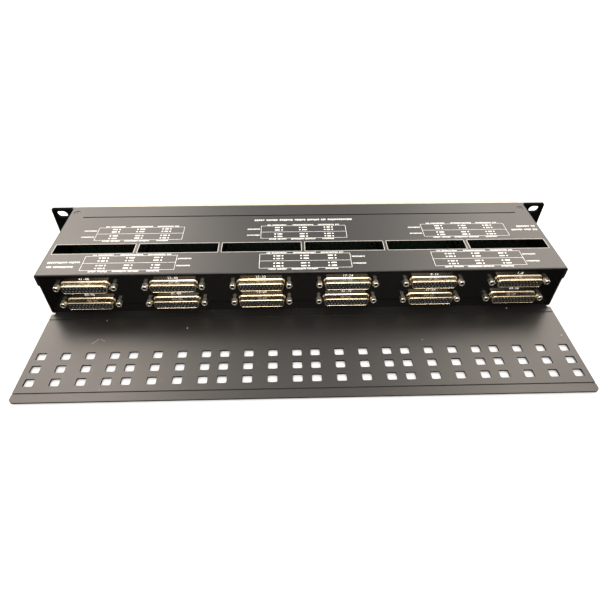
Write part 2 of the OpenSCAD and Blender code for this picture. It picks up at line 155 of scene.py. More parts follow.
def stage_sheet(name, corners, material):
    """A four-cornered sheet that belongs to the studio."""
    mesh = bpy.data.meshes.new(name)
    mesh.from_pydata(corners, [], [(0, 1, 2, 3)])
    mesh.materials.append(material)
    sheet = bpy.data.objects.new(name, mesh)
    scene.collection.objects.link(sheet)
    return sheet


FLOOR_HALF = 4.0
floor_z = cad_box[0][2]
square = ((-1, -1), (1, -1), (1, 1), (-1, 1))
floor_paper = matt("floor_paper", 40.0, (0.65, 0.65, 0.655), (0.68, 0.68, 0.685), 0.9, 0.1)
floor = stage_sheet("floor", [(FLOOR_HALF * x, FLOOR_HALF * y, floor_z) for x, y in square],
                    floor_paper)
floor.visible_glossy = False

sky = bpy.data.worlds.new("sky")
sky.use_nodes = True
set_input(sky.node_tree.nodes["Background"], "Color", (1.0, 1.0, 1.0, 1.0))
set_input(sky.node_tree.nodes["Background"], "Strength", 1.0)
scene.world = sky


AIM = Vector((0.0, 0.08, 0.0))


def soft_panel(name, place, size, radiance, colour):
    """A rectangular panel at place, turned to the unit. radiance is against the white sky's 1."""
    data = bpy.data.lights.new(name, "AREA")
    data.shape = "RECTANGLE"
    data.size, data.size_y = size
    data.energy = radiance * math.pi * size[0] * size[1]
    data.color = colour
    panel = bpy.data.objects.new(name, data)
    panel.location = place
    panel.rotation_euler = (AIM - Vector(place)).to_track_quat("-Z", "Y").to_euler()
    scene.collection.objects.link(panel)


soft_panel("panel_left", (0.66, -0.90, 0.86), (0.75, 0.75), 5.0, (1.0, 0.90, 0.80))
soft_panel("panel_left_high", (1.20, -0.85, 1.55), (0.90, 0.80), 7.4, (1.0, 0.89, 0.79))
soft_panel("panel_middle", (0.02, -1.05, 0.88), (0.42, 0.60), 0.1, (1.0, 0.94, 0.88))
soft_panel("panel_right", (-0.78, -0.95, 0.84), (0.70, 0.66), 3.8, (1.0, 0.90, 0.80))
soft_panel("panel_right_high", (-1.20, -0.85, 1.50), (0.90, 0.80), 5.6, (1.0, 0.89, 0.79))
soft_panel("panel_over", (0.05, 0.50, 1.15), (0.50, 0.40), 9.0, (1.0, 0.96, 0.90))
soft_panel("panel_rear", (0.0, 1.20, 0.80), (1.30, 0.40), 9.0, (1.0, 0.97, 0.92))

# Black felt lies under the paper and stands behind the camera. It is seen only in
# reflections, and keeps the rear panel and the plated parts dark between their highlights.
UPRIGHT_HALF, UPRIGHT_Y, UPRIGHT_TOP = 1.6, 1.5, 0.9
FLAT_HALF, FLAT_BELOW = 3.0, 0.002
black_felt = matt("black_felt", 60.0, (0.004, 0.004, 0.004), (0.008, 0.008, 0.008), 1.0, 0.0)
upright = [(x * UPRIGHT_HALF, UPRIGHT_Y, UPRIGHT_TOP if z > 0 else floor_z) for x, z in square]
flat = [(x * FLAT_HALF, y * FLAT_HALF, floor_z - FLAT_BELOW) for x, y in square]
for name, corners in (("felt_upright", upright), ("felt_flat", flat)):
    felt = stage_sheet(name, corners, black_felt)
    felt.visible_camera = False
    felt.visible_diffuse = False
    felt.visible_shadow = False

# ---- Case sheets -----------------------------------------------------------------------
# Folded steel sheet: the cover, the base that runs on as the cable tray, the rear panel and the
# frame behind the front panel. Cut edges are broken, and everything has a satin black powder
# coat with a faint orange peel and some dust. The front panel is anodised plate.

SHEET_T = 1.2 * MM
BROKEN_EDGE = 0.28 * MM


def merged(node, name=None):
    """A copy of a CAD node's mesh with its doubles merged and its flats in one piece."""
    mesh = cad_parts[node].data.copy()
    work = bmesh.new()
    work.from_mesh(mesh)
    bmesh.ops.remove_doubles(work, verts=work.verts, dist=0.000004)
    bmesh.ops.dissolve_limit(work, angle_limit=math.radians(0.5), verts=work.verts,
                             edges=work.edges)
    work.to_mesh(mesh)
    work.free()
    piece = bpy.data.objects.new(name or node + "_finished", mesh)
    scene.collection.objects.link(piece)
    return piece


def baked(piece):
    """The piece with its modifiers made part of a plain mesh."""
    depsgraph = bpy.context.evaluated_depsgraph_get()
    mesh = bpy.data.meshes.new_from_object(piece.evaluated_get(depsgraph))
    old = piece.data
    piece.modifiers.clear()
    piece.data = mesh
    bpy.data.meshes.remove(old)
    return piece


def softened(node, width, segments=2, name=None):
    """A copy of a CAD node with its edges rounded by width."""
    piece = merged(node, name)
    edge = piece.modifiers.new("edge", "BEVEL")
    edge.width = width
    edge.segments = segments
    edge.limit_method = "ANGLE"
    edge.angle_limit = math.radians(40)
    baked(piece)
    piece.data.shade_flat()
    return piece


def dress(piece, material):
    """Gives the piece one material in place of what it had."""
    piece.data.materials.clear()
    piece.data.materials.append(material)


def stands_for(piece, body, slot, *nodes):
    """Rides the piece on its body, in place of the CAD nodes. slot is not used."""
    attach(piece, body)
    if nodes:
        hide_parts(*nodes)


def powder_coat(name, colour, roughness, specular, dust=0.0):
    """Black powder coat. dust is how strongly its specks show."""
    material, shader = new_material(name)
    tree = material.node_tree
    cloud = noise(tree, 9.0, 3.0)
    dark = tuple(0.8 * c for c in colour)
    tone = ramp(tree, cloud, 0.35, 0.65, dark, colour)
    if dust:
        specks = tree.nodes.new("ShaderNodeTexVoronoi")
        place = tree.nodes.new("ShaderNodeTexCoord")
        set_input(specks, "Scale", 90.0)
        tree.links.new(place.outputs["Object"], specks.inputs["Vector"])
        mask = ramp(tree, specks.outputs["Distance"], 0.0, 0.045, (dust,) * 3, (0, 0, 0))
        mix = tree.nodes.new("ShaderNodeMix")
        mix.data_type = "RGBA"
        tree.links.new(mask, mix.inputs["Factor"])
        tree.links.new(tone, mix.inputs["A"])
        mix.inputs["B"].default_value = (0.35, 0.34, 0.32, 1.0)
        tone = mix.outputs["Result"]
    tree.links.new(tone, shader.inputs["Base Color"])
    tree.links.new(spread(tree, cloud, roughness - 0.02, roughness + 0.03),
                   shader.inputs["Roughness"])
    set_input(shader, "Specular IOR Level", specular)
    set_input(shader, "Specular Tint", (1.0, 0.97, 0.94, 1.0))
    bump(tree, shader, noise(tree, 900.0, 1.0), 0.25, 0.00002)
    return material


coat = powder_coat("black_coat", (0.0052, 0.0046, 0.0040), 0.40, 0.62, dust=0.35)
# The rear panel has a darker, less glossy copy of the coat: painted shade.
shaded_rear_coat = powder_coat("black_coat_rear_painted_shade", (0.0026, 0.0023, 0.0019), 0.14, 0.20)
panel_coat = powder_coat("black_anodised", (0.0020, 0.0020, 0.0020), 0.55, 0.02)
# The holes' upright walls get a darker, matt copy of the coat as painted shade.
hole_wall_shade = powder_coat("hole_wall_painted_shade", (0.0030, 0.0027, 0.0024), 0.75, 0.05)


def shade_hole_walls(sheet, reach, front, rear):
    """Gives the upright walls of the holes a darker matt copy of the coat as painted shade:
    those within reach of the middle, and between front and rear, in millimetres."""
    steep, depth = 0.3, SHEET_T + 0.1 * MM
    sheet.data.materials.append(hole_wall_shade)
    top = max(v.co.z for v in sheet.data.vertices if v.co.y > front * MM)
    for face in sheet.data.polygons:
        place = face.center
        if (abs(face.normal.z) < steep and abs(place.x) < reach * MM and place.z > top - depth
                and front * MM < place.y < rear * MM):
            face.material_index = 1


def coat_top_edge(panel, half_width):
    """Gives the panel's top edge, where it borders the cover, the cover's coat."""
    work = bmesh.new()
    work.from_mesh(panel.data)
    for x in (-half_width, half_width):
        bmesh.ops.bisect_plane(work, geom=work.verts[:] + work.edges[:] + work.faces[:],
                               dist=0.000001, plane_co=(x, 0.0, 0.0), plane_no=(1.0, 0.0, 0.0))
    work.to_mesh(panel.data)
    work.free()
    panel.data.materials.append(coat)
    top = max(vertex.co.z for vertex in panel.data.vertices)
    for face in panel.data.polygons:
        if face.center.z > top - BROKEN_EDGE and abs(face.center.x) < half_width:
            face.material_index = 1


# How far each sheet's holes reach to either side, and where they begin and end along Y.
punched = {"top_cover": (216.0, 5.0, 96.0), "base_tray": (215.0, 125.0, 185.0)}

for node, material in (("top_cover", coat), ("base_tray", coat), ("jack_frame", coat),
                       ("rear_panel", shaded_rear_coat), ("front_panel", panel_coat)):
    sheet = softened(node, BROKEN_EDGE, 3)
    dress(sheet, material)
    if node in punched:
        shade_hole_walls(sheet, *punched[node])
    if node == "front_panel":
        coat_top_edge(sheet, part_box("top_cover")[1][0])
    stands_for(sheet, "frame", "black_sheet", node)

# ---- Print on the cover and the rear panel ----------------------------------------------
# White screen-printed ink, a few hundredths of a millimetre thick: six tables of shunt
# positions on the cover, and the channel numbers over the rear connectors. Words are
# replaced by plain blocks, and only the numbers are real.

MODULES, CHANNELS = 6, 8
MODULE_PITCH = 72.5 * MM
module_middles = [(module - (MODULES - 1) / 2) * MODULE_PITCH / MM for module in range(MODULES)]
CONN_RISE = 18.2 * MM
CONN_MIDDLE = 1.2 * MM
INK = 0.02 * MM


class FlatMarks:
    """Collects thin flat shapes on a surface given by its origin and its right and up ways."""

    def __init__(self, origin, right, up):
        self.origin = Vector(origin)
        self.right = Vector(right)
        self.up = Vector(up)
        self.out = self.right.cross(self.up)
        self.work = bmesh.new()

    def at(self, u, v, w):
        """The point u to the right, v up and w out of the surface, in metres."""
        return self.origin + self.right * u + self.up * v + self.out * w

    def outline(self, points):
        """A raised flat shape with the given outline, in millimetres, counter-clockwise."""
        low = [self.work.verts.new(self.at(u * MM, v * MM, -INK)) for u, v in points]
        high = [self.work.verts.new(self.at(u * MM, v * MM, INK)) for u, v in points]
        self.work.faces.new(high)
        self.work.faces.new(low[::-1])
        for k in range(len(points)):
            n = (k + 1) % len(points)
            self.work.faces.new((low[k], low[n], high[n], high[k]))

    def bar(self, u, v, width, height):
        half, rise = width / 2, height / 2
        self.outline([(u - half, v - rise), (u + half, v - rise),
                      (u + half, v + rise), (u - half, v + rise)])

    def dot(self, u, v, radius):
        self.outline([(u + radius * math.cos(math.tau * k / 12),
                       v + radius * math.sin(math.tau * k / 12)) for k in range(12)])

    def word(self, u, v, width, height):
        """Plain strokes of uneven heights on a bar, in the place of a printed word."""
        strokes = max(2, round(width / (0.6 * height)))
        for k in range(strokes):
            tall = height * draw.uniform(0.72, 1.0)
            self.bar(u - width / 2 + (k + 0.5) * width / strokes, v - (height - tall) / 2,
                     0.6 * width / strokes, tall)
        self.bar(u, v - 0.12 * height, width, 0.26 * height)

    def figures(self, text, u, v, height, advance=0.74):
        """Real numerals of the given height, centred on u and v."""
        start = u - advance * height * (len(text) - 1) / 2
        for k, character in enumerate(text):
            points, faces = numerals[character]
            verts = [self.work.verts.new(self.at((start + k * advance * height + x * height) * MM,
                                                 (v + y * height) * MM, z)) for x, y, z in points]
            for face in faces:
                self.work.faces.new([verts[n] for n in face])

    def piece(self, name):
        mesh = bpy.data.meshes.new(name)
        self.work.to_mesh(mesh)
        self.work.free()
        made = bpy.data.objects.new(name, mesh)
        scene.collection.objects.link(made)
        return made


def cut_numeral(character):
    """One numeral's points, one unit high about its centre and INK thick, and its faces."""
    curve = bpy.data.curves.new("numeral", "FONT")
    curve.body = character
    curve.size = 1.0
    curve.extrude = INK
    curve.resolution_u = 2
    curve.align_x = "CENTER"
    cut = bpy.data.objects.new("numeral", curve)
    scene.collection.objects.link(cut)
    depsgraph = bpy.context.evaluated_depsgraph_get()
    mesh = bpy.data.meshes.new_from_object(cut.evaluated_get(depsgraph))
    work = bmesh.new()
    work.from_mesh(mesh)
    bmesh.ops.remove_doubles(work, verts=work.verts, dist=0.00001)
    cap = 0.7
    points = [(v.co.x / cap, v.co.y / cap - 0.5, v.co.z) for v in work.verts]
    faces = [[v.index for v in f.verts] for f in work.faces]
    work.free()
    bpy.data.objects.remove(cut)
    bpy.data.curves.remove(curve)
    bpy.data.meshes.remove(mesh)
    return points, faces


numerals = {character: cut_numeral(character) for character in "0123456789-"}
draw = random.Random(17)


def light_mark_finish(name, colour):
    """Matt ink, bared coat or a painted edge highlight, a little worn."""
    material, shader = new_material(name)
    tree = material.node_tree
    wear = noise(tree, 700.0, 2.0)
    faded = tuple(0.7 * c for c in colour)
    tree.links.new(ramp(tree, wear, 0.3, 0.6, faded, colour), shader.inputs["Base Color"])
    set_input(shader, "Roughness", 0.55)
    return material


def shunt_mark(sheet, u, v, kind):
    """One jumper position: a bar with a dot before it, after it or at both ends."""
    if kind == "both":
        sheet.bar(u, v, 3.2, 1.35)
        sheet.dot(u - 3.5, v, 0.8)
        sheet.dot(u + 3.5, v, 0.8)
    else:
        s = 1 if kind == "after" else -1
        sheet.bar(u - s * 1.2, v, 4.4, 1.35)
        sheet.dot(u + s * 3.1, v, 0.8)


def shunt_table(sheet, centre, front, rear, side, cells):
    """A two-row table with its words outside the long edges and at one end, in millimetres."""
    width, line, letter, middle = 77.5, 0.3, 1.9, (front + rear) / 2
    columns, line_pitch = (22.8, 0.3, -22.9), 3.8
    end_word, end_length, end_inset = 45.6, 11.4, 4.9
    for y in (front, middle, rear):
        sheet.bar(centre, y, width, line)
    for s in (-1, 1):
        sheet.bar(centre + s * width / 2, middle, line, rear - front)
    for u, length in ((22.2, 13.2), (31.6, 3.6), (0.4, 19.5), (-21.0, 14.8), (-31.4, 3.8)):
        sheet.word(centre + u, front - 1.3, length, letter)
    for u, length in ((28.0, 6.4), (19.6, 8.2), (5.8, 12.0), (-5.6, 9.2), (-21.6, 10.6)):
        sheet.word(centre + u, rear + 1.5, length, letter)
    for top, kinds in zip((front + 2.8, middle + 3.2), cells):
        for place, kind in zip(columns, kinds):
            for k in (0, 1):
                shunt_mark(sheet, centre + place, top + k * line_pitch, kind)
    for y in (front + end_inset, rear - end_inset):
        sheet.word(centre + side * end_word, y, end_length, letter)


top_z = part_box("top_cover")[1][2]
cover_ink = FlatMarks((0.0, 0.0, top_z), (1.0, 0.0, 0.0), (0.0, 1.0, 0.0))
for centre in (146.6, -1.3, -149.0):
    shunt_table(cover_ink, centre, 33.0, 52.4, 1,
                (("before", "after", "both"), ("after", "before", "both")))
    shunt_table(cover_ink, centre, 75.5, 94.8, -1,
                (("both", "after", "before"), ("both", "before", "after")))

# The title's words run from its right-hand end, and two short notes stand at the cover's sides.
title_end, title_y, title_letter, word_gap = 44.2, 23.4, 2.9, 1.6
for length in (9.4, 10.8, 12.6, 10.2, 11.4, 4.6, 23.0):
    cover_ink.word(title_end - length / 2, title_y, length, title_letter)
    title_end -= length + word_gap
note_letter = 2.5
for x, y, width in ((209.6, 83.8, 11.0), (201.2, 83.8, 5.6), (192.6, 83.8, 9.4),
                    (211.8, 89.8, 4.4), (200.2, 89.8, 16.6), (-205.0, 38.2, 12.4),
                    (-214.6, 38.2, 3.6), (-197.6, 43.6, 10.4), (-207.6, 43.6, 6.4),
                    (-214.4, 43.6, 4.2)):
    cover_ink.word(x, y, width, note_letter)
print_on_cover = cover_ink.piece("print_on_cover")

# Light lines along the windows' edges are painted highlights on the cut edges.
WINDOW_MIDDLE, WINDOW_W, WINDOW_D = 65.1, 68.8, 13.0
EDGE_LINE = 0.4
edge_glints = FlatMarks((0.0, 0.0, top_z), (1.0, 0.0, 0.0), (0.0, 1.0, 0.0))
for u in module_middles:
    for s in (-1, 1):
        edge_glints.bar(u, WINDOW_MIDDLE + s * (WINDOW_D / 2 + EDGE_LINE),
                  WINDOW_W + 2 * EDGE_LINE, EDGE_LINE)
        edge_glints.bar(u + s * (WINDOW_W / 2 + EDGE_LINE), WINDOW_MIDDLE, EDGE_LINE, WINDOW_D)
window_edges = edge_glints.piece("window_edges")

back_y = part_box("rear_panel")[1][1]
rear_ink = FlatMarks((0.0, back_y, 0.0), (-1.0, 0.0, 0.0), (0.0, 0.0, 1.0))
RANGE_LEVELS, RANGE_FIGURE = (17.3, 0.25), 2.35
for module, u in enumerate(module_middles):
    for row, z in enumerate(RANGE_LEVELS):
        first = CHANNELS * (MODULES * (row + 1) - 1 - module) + 1
        rear_ink.figures("%d-%d" % (first, first + CHANNELS - 1), u, z, RANGE_FIGURE)
print_on_rear = rear_ink.piece("print_on_rear")

white_ink = light_mark_finish("white_ink", (0.90, 0.88, 0.84))
for printed in (print_on_cover, print_on_rear):
    dress(printed, white_ink)
    stands_for(printed, "frame", "black_sheet")

# The pale colour of the windows' edge lines is a painted highlight.
dress(window_edges, light_mark_finish("painted_edge_highlight", (0.62, 0.59, 0.54)))
stands_for(window_edges, "frame", "black_sheet")

# ---- Scuffs -----------------------------------------------------------------------------
# Handling has left a few light marks in the tray's coat: two short scratches that meet, and
# some chips.

tray_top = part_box("base_tray")[0][2] + SHEET_T
scuffs = FlatMarks((0.0, 0.0, tray_top), (1.0, 0.0, 0.0), (0.0, 1.0, 0.0))
for start, end, half in (((174.0, 138.7), (169.8, 133.3), 0.22),
                         ((168.6, 133.3), (164.3, 135.6), 0.16)):
    along = Vector(end) - Vector(start)
    across = Vector((-along.y, along.x)).normalized() * half
    corners = (Vector(start), Vector(end) - across, Vector(end), Vector(start) + across)
    scuffs.outline([tuple(corner) for corner in corners][::-1])
for x, y, radius in ((99.1, 122.4, 0.55), (168.8, 112.0, 0.5), (-214.0, 137.8, 0.5),
                     (-179.2, 104.4, 0.6), (60.5, 151.0, 0.3), (-96.4, 140.2, 0.3)):
    scuffs.dot(x, y, radius)
tray_scuffs = scuffs.piece("tray_scuffs")
dress(tray_scuffs, light_mark_finish("bared_coat", (0.42, 0.40, 0.36)))
stands_for(tray_scuffs, "frame", "black_sheet")

# ---- Rear connectors --------------------------------------------------------------------
# Twelve 25-way D sockets. Each has a drawn steel shell with a passivated yellow plate, a
# rolled root where it leaves the rear panel, a black moulded insert and turned contacts.

CONN_W, CONN_H = 38.3 * MM, 8.1 * MM
SHELL_R = 2.4 * MM
SHELL_SLANT = math.radians(10)
CORNER_STEPS = 7


def d_ring(inset):
    """The D outline's points, wide side up, moved inwards by inset."""
    width, height, radius = CONN_W - 2 * inset, CONN_H - 2 * inset, SHELL_R - inset
    lean = (height - 2 * radius) * math.tan(SHELL_SLANT)
    top_x, rise = width / 2 - radius, height / 2 - radius
    quarter, half = math.pi / 2, math.pi
    corners = ((top_x, rise, -SHELL_SLANT, quarter), (-top_x, rise, quarter, half + SHELL_SLANT),
               (lean - top_x, -rise, half + SHELL_SLANT, 3 * quarter),
               (top_x - lean, -rise, 3 * quarter, 2 * half - SHELL_SLANT))
    points = []
    for x, z, start, end in corners:
        for k in range(CORNER_STEPS + 1):
            turn = start + (end - start) * k / CORNER_STEPS
            points.append((x + radius * math.cos(turn), z + radius * math.sin(turn)))
    return points


def tube(name, rings, sharp=40):
    """A closed tube through rings of points; the last ring joins the first."""
    mesh = bpy.data.meshes.new(name)
    count = len(rings[0])
    faces = []
    for r in range(len(rings)):
        here, there = r * count, (r + 1) % len(rings) * count
        for k in range(count):
            n = (k + 1) % count
            faces.append((here + k, here + n, there + n, there + k))
    mesh.from_pydata([point for ring in rings for point in ring], [], faces)
    work = bmesh.new()
    work.from_mesh(mesh)
    bmesh.ops.recalc_face_normals(work, faces=work.faces)
    work.to_mesh(mesh)
    work.free()
    mesh.shade_smooth()
    mesh.set_sharp_from_angle(angle=math.radians(sharp))
    return mesh


def joined(name, *meshes):
    """The meshes as one, in the place of the separate ones."""
    work = bmesh.new()
    for mesh in meshes:
        work.from_mesh(mesh)
        bpy.data.meshes.remove(mesh)
    whole = bpy.data.meshes.new(name)
    work.to_mesh(whole)
    work.free()
    return whole


def drawn_shell():
    """One shell about its own centre: (inset, y) down the outside, over the rim and back in.
    Its flange lies behind the rear panel."""
    flange_w, flange_t, flange_h, flange_y = 53.0 * MM, 0.8 * MM, 12.5 * MM, -1.6 * MM
    profile = ((-0.95, 0.02), (-0.90, 0.18), (-0.62, 0.36), (-0.30, 0.58), (-0.10, 0.90),
               (0.0, 1.30), (0.0, 5.05), (0.04, 5.36), (0.15, 5.64), (0.33, 5.85),
               (0.55, 5.97), (0.72, 6.0), (0.82, 5.92), (0.80, 5.70), (0.45, 5.60),
               (0.45, -1.9), (0.0, -1.9), (0.0, -0.1), (-0.2, 0.0))
    rings = [[(x, y * MM, z) for x, z in d_ring(inset * MM)] for inset, y in profile]
    walls = tube("shell_walls", rings)
    plate = bpy.data.meshes.new("shell_plate")
    work = bmesh.new()
    size = Matrix.Diagonal((flange_w, flange_t, flange_h, 1.0))
    bmesh.ops.create_cube(work, size=1.0,
                          matrix=Matrix.Translation((0.0, flange_y, 0.0)) @ size)
    bmesh.ops.bevel(work, geom=work.edges, offset=0.15 * MM, segments=2, affect="EDGES")
    work.to_mesh(plate)
    work.free()
    return joined("drawn_shell", walls, plate)


def turned(name, profile, sides=28, sharp=40):
    """A turned ring about the Y axis from a closed profile of (radius, y) in millimetres."""
    rings = [[(r * MM * math.cos(math.tau * k / sides), y * MM,
               r * MM * math.sin(math.tau * k / sides)) for k in range(sides)]
             for r, y in profile]
    return tube(name, rings, sharp)


def ranks_tree():
    """Copies of a piece in a rank, the rank in groups, and the groups in rows."""
    tree = bpy.data.node_groups.new("ranks", "GeometryNodeTree")
    tree.is_modifier = True
    kinds = (("Piece", "Object"), ("Finish", "Material"), ("First", "Vector"),
             ("Pitch", "Float"), ("Count", "Int"), ("Group pitch", "Float"),
             ("Groups", "Int"), ("Row step", "Vector"), ("Rows", "Int"))
    for name, kind in kinds:
        tree.interface.new_socket(name, in_out="INPUT", socket_type="NodeSocket" + kind)
    tree.interface.new_socket("Geometry", in_out="OUTPUT", socket_type="NodeSocketGeometry")
    start = tree.nodes.new("NodeGroupInput")
    end = tree.nodes.new("NodeGroupOutput")
    source = tree.nodes.new("GeometryNodeObjectInfo")
    tree.links.new(start.outputs["Piece"], source.inputs["Object"])
    copies = source.outputs["Geometry"]
    for count, step, first in (("Count", "Pitch", True), ("Groups", "Group pitch", False),
                               ("Rows", "Row step", False)):
        line = tree.nodes.new("GeometryNodeMeshLine")
        line.mode = "OFFSET"
        tree.links.new(start.outputs[count], line.inputs["Count"])
        if first:
            tree.links.new(start.outputs["First"], line.inputs["Start Location"])
        if step == "Row step":
            tree.links.new(start.outputs[step], line.inputs["Offset"])
        else:
            along = tree.nodes.new("ShaderNodeCombineXYZ")
            tree.links.new(start.outputs[step], along.inputs["X"])
            tree.links.new(along.outputs["Vector"], line.inputs["Offset"])
        spots = tree.nodes.new("GeometryNodeInstanceOnPoints")
        tree.links.new(line.outputs["Mesh"], spots.inputs["Points"])
        tree.links.new(copies, spots.inputs["Instance"])
        copies = spots.outputs["Instances"]
    real = tree.nodes.new("GeometryNodeRealizeInstances")
    finish = tree.nodes.new("GeometryNodeSetMaterial")
    tree.links.new(copies, real.inputs["Geometry"])
    tree.links.new(real.outputs["Geometry"], finish.inputs["Geometry"])
    tree.links.new(start.outputs["Finish"], finish.inputs["Material"])
    tree.links.new(finish.outputs["Geometry"], end.inputs["Geometry"])
    return tree


ranks_nodes = ranks_tree()


def ranks(name, mesh, finish, first, pitch=0.0, count=1, group_pitch=0.0, groups=1,
          row_step=(0.0, 0.0, 0.0), rows=1):
    """One piece of regular copies of mesh, from the first one's place."""
    pattern = bpy.data.objects.new(name + "_pattern", mesh)
    scene.collection.objects.link(pattern)
    piece = bpy.data.objects.new(name, bpy.data.meshes.new(name))
    scene.collection.objects.link(piece)
    modifier = piece.modifiers.new("ranks", "NODES")
    modifier.node_group = ranks_nodes
    values = {"Piece": pattern, "Finish": finish, "First": first, "Pitch": pitch,
              "Count": count, "Group pitch": group_pitch, "Groups": groups,
              "Row step": row_step, "Rows": rows}
    for socket in ranks_nodes.interface.items_tree:
        if socket.in_out == "INPUT":
            modifier[socket.identifier] = values[socket.name]
    baked(piece)
    bpy.data.objects.remove(pattern)
    return piece


def plated(name, colour, roughness, dull=0.8):
    """Plated metal with faint clouds in its colour and gloss."""
    material, shader = new_material(name)
    tree = material.node_tree
    cloud = noise(tree, 260.0, 2.0)
    dark = tuple(dull * c for c in colour)
    tree.links.new(ramp(tree, cloud, 0.35, 0.65, dark, colour), shader.inputs["Base Color"])
    tree.links.new(spread(tree, cloud, roughness - 0.04, roughness + 0.05),
                   shader.inputs["Roughness"])
    set_input(shader, "Metallic", 1.0)
    return material


def moulded(name, colour, roughness, grain=1500.0):
    """Moulded plastic or lacquer with a fine surface texture."""
    material, shader = new_material(name)
    tree = material.node_tree
    cloud = noise(tree, 300.0, 2.0)
    dark = tuple(0.8 * c for c in colour)
    tree.links.new(ramp(tree, cloud, 0.35, 0.65, dark, colour), shader.inputs["Base Color"])
    set_input(shader, "Roughness", roughness)
    bump(tree, shader, noise(tree, grain, 1.0), 0.15, 0.00001)
    return material


ROWS_OF_CONNECTORS = ("upper", "lower")
module_letters = "abcdef"
first_module_x = -(MODULES - 1) / 2 * MODULE_PITCH
conn_start = Vector((first_module_x, back_y, CONN_MIDDLE + CONN_RISE / 2))
row_drop = (0.0, 0.0, -CONN_RISE)

shell_plate = plated("passivated_plate", (0.76, 0.62, 0.42), 0.27, 0.9)
shells = ranks("connector_shells", drawn_shell(), shell_plate, conn_start,
               MODULE_PITCH, MODULES, row_step=row_drop, rows=2)
stands_for(shells, "frame", "plated_shell",
           *["connector_shell_%s_%s" % (row, m) for row in ROWS_OF_CONNECTORS
             for m in module_letters])

black_moulding = moulded("black_moulding", (0.010, 0.010, 0.010), 0.42)
for row in ROWS_OF_CONNECTORS:
    for m in module_letters:
        dress(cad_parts["connector_insert_%s_%s" % (row, m)], black_moulding)

CONTACT_PITCH, CONTACT_RISE = 2.76 * MM, 2.84 * MM
contact_profile = ((0.70, -11.4), (0.70, 5.34), (0.66, 5.46), (0.56, 5.52), (0.46, 5.46),
                   (0.42, 5.2), (0.42, 0.4), (0.02, 0.2), (0.02, -11.4))
contact_gold = plated("contact_plate", (0.52, 0.50, 0.46), 0.35)
for name, count, side, replaced in (("contacts_of_thirteen", 13, 1, ["connector_contacts"]),
                                    ("contacts_of_twelve", 12, -1, [])):
    start = Vector(((1 - count) / 2 * CONTACT_PITCH, 0.0, side * CONTACT_RISE / 2))
    contacts = ranks(name, turned("contact", contact_profile, 12), contact_gold,
                     conn_start + start, CONTACT_PITCH, count, MODULE_PITCH, MODULES, row_drop, 2)
    stands_for(contacts, "frame", "gold_contact", *replaced)

connector_lacquer = moulded("board_lacquer", (0.006, 0.016, 0.009), 0.3)
dress(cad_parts["connector_boards"], connector_lacquer)

# ---- Jackscrews -------------------------------------------------------------------------
# Plated steel hexagons 5 mm long, one at each end of a connector. Their outer ends are
# chamfered on a lathe and have a 4-40 thread for the plug's screws, painted dark as shade.

HEX_FLATS = 4.75 * MM
SCREW_SPAN = 47.04 * MM


def jackscrew():
    """One jackscrew on the Y axis, from its shank to its chamfered end and down its thread."""
    sides = 36
    corner = HEX_FLATS / 2 / math.cos(math.pi / 6)

    def hexagon(turn, limit):
        off = (turn % (math.pi / 3)) - math.pi / 6
        return min(HEX_FLATS / 2 / math.cos(off), limit)

    rings = []
    cone = ((0.0, corner - 0.30 * MM), (0.28, corner), (4.28, corner),
            (4.50, corner - 0.14 * MM), (4.78, corner - 0.36 * MM), (5.0, corner - 0.72 * MM))
    for r, y in ((1.42, -3.9), (1.42, -0.02)):
        rings.append([(r * MM, y * MM)] * sides)
    for y, limit in cone:
        rings.append([(hexagon(math.tau * k / sides, limit), y * MM) for k in range(sides)])
    for r, y in ((1.56, 4.98), (1.46, 4.8), (1.46, 0.6), (0.05, 0.6), (0.05, -3.9)):
        rings.append([(r * MM, y * MM)] * sides)
    points = [[(r * math.cos(math.tau * k / sides), y, r * math.sin(math.tau * k / sides))
               for k, (r, y) in enumerate(ring)] for ring in rings]
    return tube("jackscrew", points, 28)


thread_profile = [(1.45, 0.7), (1.45, 4.86), (1.38, 4.80)]
thread_profile += [(1.20 if k % 2 else 1.36, 4.68 - 0.32 * k) for k in range(12)]
thread_profile += [(0.05, 0.95), (0.05, 0.7)]
screw_plate = plated("jackscrew_plate", (1.0, 0.94, 0.82), 0.36, 0.9)
screw_places = (conn_start - Vector((SCREW_SPAN / 2, 0.0, 0.0)), SCREW_SPAN, 2,
                MODULE_PITCH, MODULES, row_drop, 2)
jackscrews = ranks("jackscrews_finished", jackscrew(), screw_plate, *screw_places)
stands_for(jackscrews, "frame", "plated_steel", "jackscrews")
# The thread inside the bore is painted near black, as the shade in the hole.
bore_shade_metal = plated("thread_painted_shade", (0.05, 0.045, 0.04), 0.45)
threads = ranks("jackscrew_threads", turned("thread", thread_profile, 20), bore_shade_metal,
                *screw_places)
stands_for(threads, "frame", "plated_steel")

# ---- Screws, rivets and standoffs -------------------------------------------------------
# Black countersunk cross-head screws hold the cover and the front panel. Aluminium rivets
# join the rear panel to the base, and hexagonal standoffs with pan screws carry the boards.

black_screw = moulded("black_oxide", (0.014, 0.013, 0.012), 0.22)
rivet_metal = plated("rivet_aluminium", (0.62, 0.62, 0.60), 0.35)
hardware_plate = plated("hardware_nickel", (0.62, 0.58, 0.48), 0.24)
for node, material in (("panel_screws", black_screw), ("tray_rivets", rivet_metal),
                       ("board_standoffs", hardware_plate), ("board_screws", black_screw)):
    dress(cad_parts[node], material)

